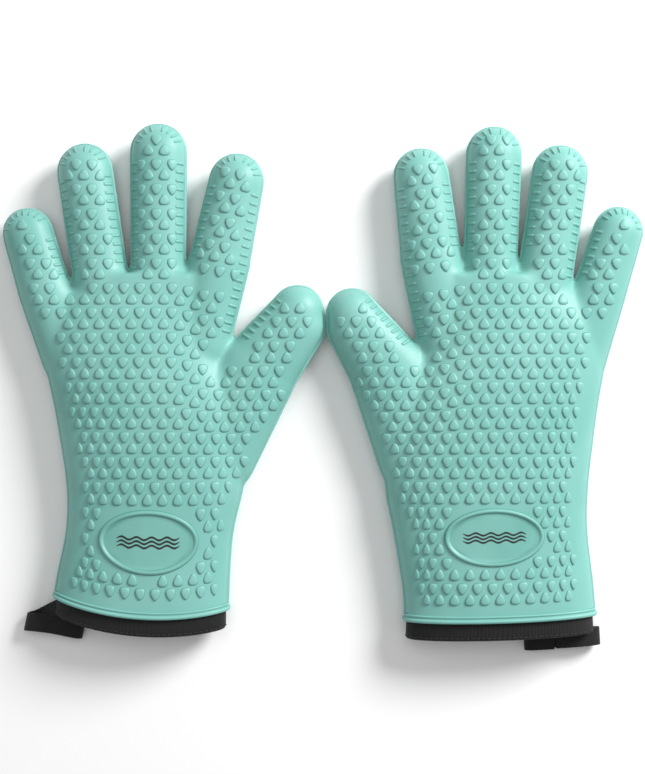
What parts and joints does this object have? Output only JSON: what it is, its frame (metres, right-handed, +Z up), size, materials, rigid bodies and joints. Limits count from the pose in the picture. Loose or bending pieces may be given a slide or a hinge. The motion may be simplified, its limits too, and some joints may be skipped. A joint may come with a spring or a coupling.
{
  "type": "heat resistant glove",
  "caption": "Pair of five-fingered silicone cooking gloves with raised drop-shaped grips, quilted liners, taped hems and hanging loops, palms up.",
  "frame": {"origin": "on the table under the middle of the pair", "axes": "+X to the right across the pair, from the left glove to the right one; +Y from the cuffs to the fingertips; +Z up from the table"},
  "size_m": [0.4107, 0.3397, 0.0346],
  "materials": {
    "silicone": "satin moulded silicone",
    "badge_silicone": "satin moulded silicone",
    "badge_print": "matte ink",
    "liner_cloth": "quilted cotton",
    "binding_tape": "woven cotton tape",
    "loop_tape": "woven cotton tape",
    "thread": "polyester thread"
  },
  "bodies": {
    "left_palm": {"left_palm_shell": "silicone", "left_palm_liner": "liner_cloth", "left_badge": "badge_silicone", "left_binding": "binding_tape", "left_loop_tack": "loop_tape"},
    "left_little": {"left_little_shell": "silicone", "left_little_liner": "liner_cloth"},
    "left_ring": {"left_ring_shell": "silicone", "left_ring_liner": "liner_cloth"},
    "left_middle": {"left_middle_shell": "silicone", "left_middle_liner": "liner_cloth"},
    "left_index": {"left_index_shell": "silicone", "left_index_liner": "liner_cloth"},
    "left_thumb": {"left_thumb_shell": "silicone", "left_thumb_liner": "liner_cloth"},
    "left_loop": {"left_loop": "loop_tape"},
    "right_palm": {"right_palm_shell": "silicone", "right_palm_liner": "liner_cloth", "right_badge": "badge_silicone", "right_binding": "binding_tape", "right_loop_tack": "loop_tape"},
    "right_little": {"right_little_shell": "silicone", "right_little_liner": "liner_cloth"},
    "right_ring": {"right_ring_shell": "silicone", "right_ring_liner": "liner_cloth"},
    "right_middle": {"right_middle_shell": "silicone", "right_middle_liner": "liner_cloth"},
    "right_index": {"right_index_shell": "silicone", "right_index_liner": "liner_cloth"},
    "right_thumb": {"right_thumb_shell": "silicone", "right_thumb_liner": "liner_cloth"},
    "right_loop": {"right_loop": "loop_tape"}
  },
  "joints": [
    {"name": "gloves_apart", "type": "slide", "parent": "left_palm", "child": "right_palm", "axis": [1, 0, 0], "range_m": [0, 0.15]},
    {"name": "left_little_bend", "type": "hinge", "parent": "left_palm", "child": "left_little", "pos_m": [-0.18212, 0.07732, 0.014], "axis": [0.9575, 0.2886, 0], "range_deg": [0, 60], "stiffness_Nm_per_rad": 0.08},
    {"name": "left_ring_bend", "type": "hinge", "parent": "left_palm", "child": "left_ring", "pos_m": [-0.14569, 0.09573, 0.014], "axis": [0.989, 0.1476, 0], "range_deg": [0, 60], "stiffness_Nm_per_rad": 0.08},
    {"name": "left_middle_bend", "type": "hinge", "parent": "left_palm", "child": "left_middle", "pos_m": [-0.105, 0.096, 0.014], "axis": [1, 0, 0], "range_deg": [0, 60], "stiffness_Nm_per_rad": 0.08},
    {"name": "left_index_bend", "type": "hinge", "parent": "left_palm", "child": "left_index", "pos_m": [-0.06269, 0.09565, 0.014], "axis": [0.9783, -0.207, 0], "range_deg": [0, 60], "stiffness_Nm_per_rad": 0.08},
    {"name": "left_thumb_bend", "type": "hinge", "parent": "left_palm", "child": "left_thumb", "pos_m": [-0.03106, 0.02601, 0.014], "axis": [0.8292, -0.559, 0], "range_deg": [0, 60], "stiffness_Nm_per_rad": 0.08},
    {"name": "left_loop_swing", "type": "hinge", "parent": "left_palm", "child": "left_loop", "pos_m": [-0.16, -0.1575, 0.0051], "axis": [0.2079, 0.9781, 0], "range_deg": [0, 170]},
    {"name": "right_little_bend", "type": "hinge", "parent": "right_palm", "child": "right_little", "pos_m": [0.18227, 0.07727, 0.014], "axis": [0.9546, -0.2978, 0], "range_deg": [0, 60], "stiffness_Nm_per_rad": 0.08},
    {"name": "right_ring_bend", "type": "hinge", "parent": "right_palm", "child": "right_ring", "pos_m": [0.14606, 0.09574, 0.014], "axis": [0.9898, -0.1425, 0], "range_deg": [0, 60], "stiffness_Nm_per_rad": 0.08},
    {"name": "right_middle_bend", "type": "hinge", "parent": "right_palm", "child": "right_middle", "pos_m": [0.10803, 0.09599, 0.014], "axis": [0.9994, -0.0333, 0], "range_deg": [0, 60], "stiffness_Nm_per_rad": 0.08},
    {"name": "right_index_bend", "type": "hinge", "parent": "right_palm", "child": "right_index", "pos_m": [0.06792, 0.0959, 0.014], "axis": [0.9928, 0.1199, 0], "range_deg": [0, 60], "stiffness_Nm_per_rad": 0.08},
    {"name": "right_thumb_bend", "type": "hinge", "parent": "right_palm", "child": "right_thumb", "pos_m": [0.03217, 0.02621, 0.014], "axis": [0.8388, 0.5444, 0], "range_deg": [0, 60], "stiffness_Nm_per_rad": 0.08},
    {"name": "right_loop_swing", "type": "hinge", "parent": "right_palm", "child": "right_loop", "pos_m": [0.172, -0.1633, 0.0051], "axis": [-0.0523, 0.9986, 0], "range_deg": [0, 170]}
  ]
}
